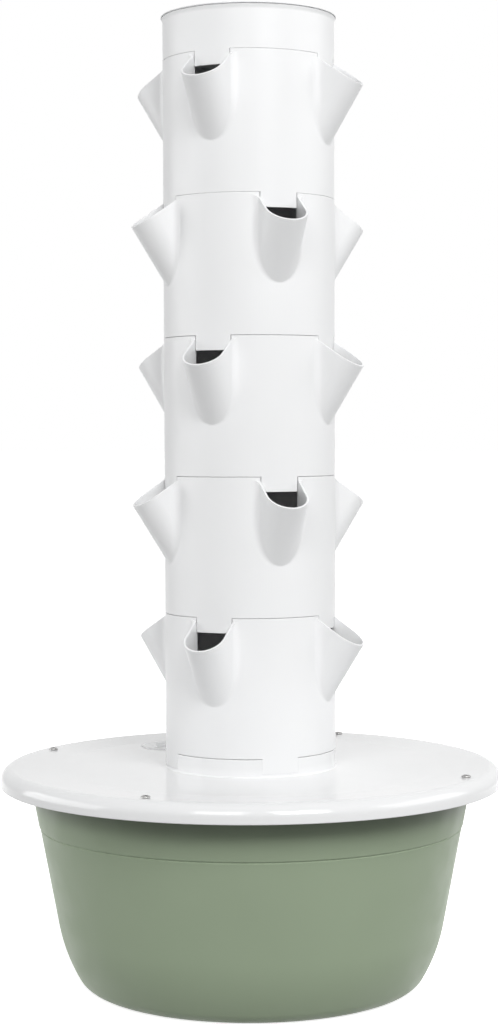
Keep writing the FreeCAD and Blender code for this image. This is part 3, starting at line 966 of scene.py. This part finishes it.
def step_outline():
    """Groove in the wall just below the step, and the round of the step's lower edge."""
    wall = tub_wall(STEP_HEIGHT)
    return [
        (tub_wall(STEP_HEIGHT - 2.4), STEP_HEIGHT - 2.4),
        (tub_wall(STEP_HEIGHT - 1.6) - STEP_GROOVE, STEP_HEIGHT - 1.6),
        (wall - STEP_GROOVE, STEP_HEIGHT - 0.2),
        (wall + 0.55 * STEP_DEPTH, STEP_HEIGHT + 0.1),
        (wall + 0.95 * STEP_DEPTH, STEP_HEIGHT + 0.5),
        (tub_wall(STEP_HEIGHT + STEP_ROUND) + STEP_DEPTH, STEP_HEIGHT + STEP_ROUND),
    ]


def tub_outline():
    """Foot ring, corner, haunch and leaning wall with its step, then the flange and the inside."""
    turn = math.radians(HAUNCH_ANGLE)
    lean = math.radians(WALL_ANGLE)
    spread = HAUNCH - CORNER
    haunch_top = CORNER + spread * math.sin(turn) - HAUNCH * math.sin(lean)
    foot = tub_wall(haunch_top) - HAUNCH * math.cos(lean) + spread * math.cos(turn)
    corner = (foot, CORNER)
    haunch = (foot - spread * math.cos(turn), CORNER + spread * math.sin(turn))
    ring = foot - FOOT_WIDTH
    bore = tub_wall(TUB_HEIGHT) - TUB_WALL / math.cos(lean)
    flange = LID_RADIUS - LID_ROUND / 2 - FLANGE_CLEARANCE
    floor = FOOT_RECESS + TUB_WALL
    step = step_outline()
    outline = [(0, FOOT_RECESS), (ring - FOOT_RECESS, FOOT_RECESS), (ring, 0.0), (foot - FOOT_EDGE, 0.0)]
    outline += arc(corner, CORNER, FOOT_EDGE_ANGLE, HAUNCH_ANGLE, 14)
    outline += arc(haunch, HAUNCH, HAUNCH_ANGLE, WALL_ANGLE, 14)[1:]
    outline += step
    outline += rounded([
        (*step[-1], 0),
        (tub_wall(FLANGE_BOTTOM) + STEP_DEPTH, FLANGE_BOTTOM, 2.0),
        (flange, FLANGE_BOTTOM, 1.0),
        (flange, TUB_HEIGHT, 1.0),
        (bore, TUB_HEIGHT, 1.5),
        (bore - INNER_WALL_RUN * WALL_SLOPE, TUB_HEIGHT - INNER_WALL_RUN, 0),
    ], 4)[1:-1]
    outline += arc(haunch, HAUNCH - TUB_WALL, WALL_ANGLE, HAUNCH_ANGLE, 12)
    outline += arc(corner, CORNER - TUB_WALL, HAUNCH_ANGLE, FLOOR_EDGE_ANGLE, 8)[1:]
    outline += [(foot + FLOOR_EDGE_REACH, floor), (0, floor)]
    return outline


def screw_bosses():
    """Posts under the flange for the lid's screws, each with a web to the wall."""
    post = lathe(rounded([
        (BOSS_RADIUS, BOSS_BOTTOM, 0.8),
        (BOSS_RADIUS, BOSS_TOP, 0),
        (0, BOSS_TOP, 0),
        (0, BOSS_BOTTOM, 0),
    ], 3), BOSS_SEGMENTS)
    start = tub_wall(BOSS_BOTTOM) - WEB_SINK
    web = block((start, -WEB_HALF, BOSS_BOTTOM), (SCREW_CIRCLE, WEB_HALF, BOSS_TOP))
    return around(shifted(post, (SCREW_CIRCLE, 0, 0)), SCREWS) + around(web, SCREWS)


def dress_reservoir(plastic):
    piece = solid("reservoir_tub", [lathe(tub_outline())] + screw_bosses())
    finished(piece, "base", "reservoir_green", [plastic], "reservoir")


def lid_outline():
    """Plate with its collar and riser guide, the skirt, the round rim and the crowned slope."""
    collar_top = FIRST_SEAM - SEAM_GAP
    guide = PIPE_GUIDE + GUIDE_WALL
    guide_top = LID_TOP + GUIDE_RISE
    skirt = LID_RADIUS - LID_WALL
    centre = (LID_RADIUS - LID_ROUND, LID_TOP + LID_CROWN - LID_ROUND)
    outline = rounded([
        (LID_FLAT, LID_TOP, 0),
        (TOWER, LID_TOP, COLLAR_FILLET),
        (TOWER, collar_top, SEAM_EDGE),
        (BORE, collar_top, BORE_EDGE),
        (BORE, LID_TOP, 1.5),
        (guide, LID_TOP, 1.0),
        (guide, guide_top, GUIDE_EDGE),
        (PIPE_GUIDE, guide_top, GUIDE_EDGE),
        (PIPE_GUIDE, GUIDE_BOTTOM, GUIDE_EDGE),
        (guide, GUIDE_BOTTOM, GUIDE_EDGE),
        (guide, TUB_HEIGHT, GUIDE_EDGE),
        (LID_RADIUS - LID_ROUND / 2, TUB_HEIGHT, 1.5),
        (skirt, centre[1], 3.0),
        (skirt, SKIRT_BOTTOM, 0.8),
        (LID_RADIUS, SKIRT_BOTTOM, 1.2),
        (LID_RADIUS, centre[1], 0),
    ], 5)[:-1]
    outline += arc(centre, LID_ROUND, 0, -90, 20)
    outline.append((centre[0] - SLOPE_TOP_WIDTH, LID_TOP + LID_CROWN * SLOPE_TOP_SHARE))
    outline.append((LID_FLAT + SLOPE_FOOT_WIDTH, LID_TOP + SLOPE_FOOT_RISE))
    return outline


def port_cutter(radius, bottom):
    """Upright cylinder at the filling port, from a height to above the lid."""
    outline = [(0, bottom), (radius, bottom), (radius, LID_CUT_TOP), (0, LID_CUT_TOP)]
    return shifted(lathe(outline, PORT_SEGMENTS), polar(*PORT))


def dress_lid(plastic):
    """Lid with notches for the tabs, the filling port, drain slots and ribs below."""
    lid = solid("lid_plate", [lathe(lid_outline())])
    side = TAB_HALF + NOTCH_GAP
    notch = block(
        (BORE - NOTCH_INSIDE, -side, FIRST_SEAM - TAB_DROP - NOTCH_GAP),
        (TOWER + NOTCH_OUTSIDE, side, FIRST_SEAM + NOTCH_ABOVE),
    )
    port = port_cutter(PORT_RADIUS, PORT_CUT_BOTTOM)
    seat = port_cutter(PORT_SEAT, PORT_SEAT_HEIGHT)
    drains = slots(LID_DRAIN, RIBS, 180.0 / RIBS, LID_DRAIN_BOTTOM, LID_CUT_TOP)
    cut(lid, around(notch, POCKETS, HALF_TURN), [port], [seat], drains)
    rib_start = PIPE_GUIDE + GUIDE_WALL / 2
    rib = block((rib_start, -RIB_HALF, GUIDE_BOTTOM), (RIB_END, RIB_HALF, RIB_TOP))
    ribs = solid("ribs", around(rib, RIBS))
    piece = merged("lid_shell", [lid, ribs])
    finished(piece, "base", "lid_white", [plastic], "lid")


def grip_bar():
    """Low bar along Y that narrows and rounds over at its top and its ends."""
    columns = []
    for index in range(GRIP_STEPS + 1):
        share = math.cos(math.pi * index / GRIP_STEPS)
        end = min(1.0, math.sqrt(max(0.0, 1 - abs(share) ** 6)) + 0.05)
        column = []
        for step in range(GRIP_ROUND_STEPS + 1):
            angle = math.pi * step / GRIP_ROUND_STEPS
            across = GRIP_HALF_WIDTH * math.copysign(abs(math.cos(angle)) ** 0.7, math.cos(angle))
            column.append(Vector((
                across * (0.55 + 0.45 * end),
                share * GRIP_HALF_LENGTH,
                GRIP_HEIGHT * end * math.sin(angle) ** 0.7 - GRIP_SINK,
            )))
        columns.append(column)
    return grid_shell(columns)


def dress_fill_cap(plastic):
    """Disc with a raised rim and a grip, and a plug ring that goes into the port."""
    disc = lathe(rounded([
        (0, PORT_SEAT_HEIGHT, 0),
        (FILL_PLUG_BORE, PORT_SEAT_HEIGHT, 0.4),
        (FILL_PLUG_BORE, FILL_PLUG_BOTTOM, 0.4),
        (FILL_PLUG, FILL_PLUG_BOTTOM, 0.6),
        (FILL_PLUG, PORT_SEAT_HEIGHT, 0.3),
        (FILL_DISC, PORT_SEAT_HEIGHT, 0.4),
        (FILL_DISC, FILL_DISC_TOP, 0.9),
        (FILL_RIM, FILL_DISC_TOP, 0.5),
        (FILL_PANEL, FILL_PANEL_TOP, 0.5),
        (0, FILL_PANEL_TOP, 0),
    ], 4), PORT_SEGMENTS)
    shells = [disc, shifted(grip_bar(), (0, 0, FILL_PANEL_TOP))]
    place = polar(*PORT)
    shells = [shifted(turned(shell, PORT[1]), place) for shell in shells]
    piece = solid("fill_cap_disc", shells)
    finished(piece, "fill_cap", "cap_white", [plastic], "fill_cap")


def cross_recess():
    """Two bars across each other, as two cutters."""
    length = RECESS_HALF_LENGTH
    width = RECESS_HALF_WIDTH
    bars = [
        block((-length, -width, RECESS_BOTTOM), (length, width, RECESS_CUT_TOP)),
        block((-width, -length, RECESS_BOTTOM), (width, length, RECESS_CUT_TOP)),
    ]
    return [[turned(bar, 45)] for bar in bars]


def dress_screws(metal):
    """Pan heads with a cross recess, on the sloping edge of the lid."""
    slope_width = LID_RADIUS - LID_ROUND - LID_FLAT
    seat = LID_TOP + LID_CROWN * (SCREW_CIRCLE + SCREW_HEAD - LID_FLAT) / slope_width
    shank = [(0, -SCREW_LENGTH), (SCREW_SHANK, -SCREW_LENGTH), (SCREW_SHANK, 0.0)]
    screw = solid("screw", [lathe(shank + SCREW_HEAD_OUTLINE, SCREW_SEGMENTS)])
    cut(screw, *cross_recess())
    vertices = [vertex.co / MM for vertex in screw.data.vertices]
    faces = [list(face.vertices) for face in screw.data.polygons]
    bpy.data.objects.remove(screw)
    shell = shifted((vertices, faces), (SCREW_CIRCLE, 0, seat))
    piece = solid("lid_screw_heads", around(shell, SCREWS))
    finished(piece, "base", "screw_steel", [metal], "lid_screws")


# Nodes that keep their own shape

def dress_nodes(materials):
    """Gives each inner piece that stays as it is its own material."""
    for name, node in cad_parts.items():
        material = materials.get(name)
        if material:
            node.data.materials.clear()
            node.data.materials.append(material)


def inner_materials():
    # The trays are a real part; their black also serves as painted shade inside the tower.
    tray = dark_plastic("tray_black", level=0.08, roughness=0.5)
    pipe = dark_plastic("pipe_grey", level=0.14, roughness=0.4)
    coupling = dark_plastic("coupling_grey", level=0.15, roughness=0.4)
    pump = dark_plastic("pump_black", level=0.028, roughness=0.42)
    soft = rubber()
    materials = {"drip_tray_%d" % (index + 1): tray for index in range(SECTIONS)}
    for part in ("lower", "middle", "upper"):
        materials["riser_pipe_" + part] = pipe
    for part in ("lower", "upper"):
        materials[part + "_pipe_coupling"] = coupling
    for part in ("housing", "volute", "strainer"):
        materials["pump_" + part] = pump
    for part in ("feet", "shaft_bushes", "cable_gland"):
        materials["pump_" + part] = soft
    materials["pump_impeller"] = dark_plastic("impeller_grey", level=0.3, roughness=0.35)
    materials["pump_magnet"] = ferrite()
    materials["pump_shaft"] = steel("shaft_steel", roughness=0.15, low=0.5, high=0.62)
    return materials


# Stage

def seen_directly(tree):
    """1 for rays of the camera, of reflections and through glass, and 0 for the rest."""
    path = tree.nodes.new("ShaderNodeLightPath")
    seen = path.outputs["Is Camera Ray"]
    for kind in ("Is Glossy Ray", "Is Transmission Ray"):
        either = add_node(tree, "ShaderNodeMath", operation="MAXIMUM")
        tree.links.new(seen, either.inputs[0])
        tree.links.new(path.outputs[kind], either.inputs[1])
        seen = either.outputs["Value"]
    return seen


def show_or_light(tree, output_kind, shown, lighting):
    """Ends a tree with one shader for rays that see it directly and another for the light it gives."""
    output = tree.nodes.new(output_kind)
    mix = tree.nodes.new("ShaderNodeMixShader")
    tree.links.new(seen_directly(tree), mix.inputs["Fac"])
    tree.links.new(lighting, mix.inputs[1])
    tree.links.new(shown, mix.inputs[2])
    tree.links.new(mix.outputs["Shader"], output.inputs["Surface"])


def build_world():
    """Even sky light, and plain white where the world is seen."""
    world = bpy.data.worlds.new("studio")
    bpy.context.scene.world = world
    world.use_nodes = True
    tree = world.node_tree
    tree.nodes.clear()
    sky = add_node(tree, "ShaderNodeBackground", {"Color": WHITE, "Strength": SKY_LIGHT})
    plain = add_node(tree, "ShaderNodeBackground", {"Color": WHITE, "Strength": 1.0})
    shown = plain.outputs["Background"]
    show_or_light(tree, "ShaderNodeOutputWorld", shown, sky.outputs["Background"])


def floor_glow(tree):
    """Strength of the floor's glow, which grows away from the object, where less light falls."""
    near, far = FLOOR_GLOW_ENDS
    place = tree.nodes.new("ShaderNodeTexCoord")
    distance = add_node(tree, "ShaderNodeVectorMath", operation="LENGTH")
    inputs = {"From Min": near, "From Max": far, "To Min": FLOOR_GLOW, "To Max": FLOOR_GLOW_FAR}
    growth = add_node(tree, "ShaderNodeMapRange", inputs)
    tree.links.new(place.outputs["Object"], distance.inputs[0])
    tree.links.new(distance.outputs["Value"], growth.inputs["Value"])
    return growth.outputs["Result"]


def floor_material():
    """Pale floor: part glow, part lit, so that it shows white and still takes a shadow."""
    material = bpy.data.materials.new("floor")
    material.use_nodes = True
    tree = material.node_tree
    tree.nodes.clear()
    lit = add_node(tree, "ShaderNodeBsdfDiffuse", {"Color": (FLOOR_LIT, FLOOR_LIT, FLOOR_LIT, 1)})
    glow = tree.nodes.new("ShaderNodeEmission")
    tree.links.new(floor_glow(tree), glow.inputs["Strength"])
    shown = tree.nodes.new("ShaderNodeAddShader")
    tree.links.new(lit.outputs["BSDF"], shown.inputs[0])
    tree.links.new(glow.outputs["Emission"], shown.inputs[1])
    grey = (FLOOR_BOUNCE, FLOOR_BOUNCE, FLOOR_BOUNCE, 1)
    bounce = add_node(tree, "ShaderNodeBsdfDiffuse", {"Color": grey})
    lighting = bounce.outputs["BSDF"]
    show_or_light(tree, "ShaderNodeOutputMaterial", shown.outputs["Shader"], lighting)
    return material


def build_floor():
    mesh = bpy.data.meshes.new("floor")
    half = FLOOR_HALF
    corners = [(-half, -half, 0), (half, -half, 0), (half, half, 0), (-half, half, 0)]
    mesh.from_pydata(corners, [], [(0, 1, 2, 3)])
    mesh.materials.append(floor_material())
    floor = placed("floor", mesh)


def area_light(name, azimuth, height, width, power):
    """Softbox at an azimuth from the camera's side, aimed at the tower."""
    data = bpy.data.lights.new(name, "AREA")
    data.shape = "RECTANGLE"
    data.size = width
    data.size_y = LAMP_TALL
    data.energy = power
    lamp = placed(name, data)
    angle = CAMERA_AZIMUTH + math.radians(azimuth)
    place = Vector((LAMP_DISTANCE * math.sin(angle), -LAMP_DISTANCE * math.cos(angle), height))
    aim = Vector((0, 0, LAMP_TARGET)) - place
    lamp.location = place
    lamp.rotation_euler = aim.to_track_quat("-Z", "Y").to_euler()
    return lamp


def build_lights():
    """Four softboxes for the front and sides, and a fill behind that the glossy lid doesn't mirror."""
    for settings in FRONT_LAMPS:
        area_light(*settings)
    back = area_light(*BACK_LAMP)
    back.visible_glossy = False


def build_camera():
    data = bpy.data.cameras.new("camera")
    data.lens = CAMERA_LENS
    data.sensor_width = CAMERA_SENSOR
    data.sensor_fit = "AUTO"
    data.clip_end = CAMERA_FAR
    data.shift_x = CAMERA_SHIFT
    camera = placed("camera", data)
    place = Vector((
        CAMERA_DISTANCE * math.sin(CAMERA_AZIMUTH),
        -CAMERA_DISTANCE * math.cos(CAMERA_AZIMUTH),
        CAMERA_HEIGHT,
    ))
    aim = Matrix.Rotation(CAMERA_AZIMUTH, 4, "Z") @ Matrix.Rotation(math.pi / 2 - CAMERA_PITCH, 4, "X")
    roll = Matrix.Rotation(-CAMERA_ROLL, 4, "Z")
    camera.matrix_world = Matrix.Translation(place) @ aim @ roll
    bpy.context.scene.camera = camera


def build_all():
    white = tower_plastic()
    # Dark inner faces: painted shade inside the tower.
    inside = dark_plastic("inside_painted_shade", level=0.14, roughness=0.55)
    dress_sections(white, inside)
    dress_shower_cap(white, inside)
    dress_top_lid(white)
    dress_reservoir(tub_plastic())
    dress_lid(lid_plastic())
    dress_fill_cap(cap_plastic())
    dress_screws(steel("screw_steel", roughness=0.32, low=0.30, high=0.42))
    dress_nodes(inner_materials())
    build_world()
    build_floor()
    build_lights()
    build_camera()
    bpy.context.scene.view_settings.view_transform = "Standard"


build_all()
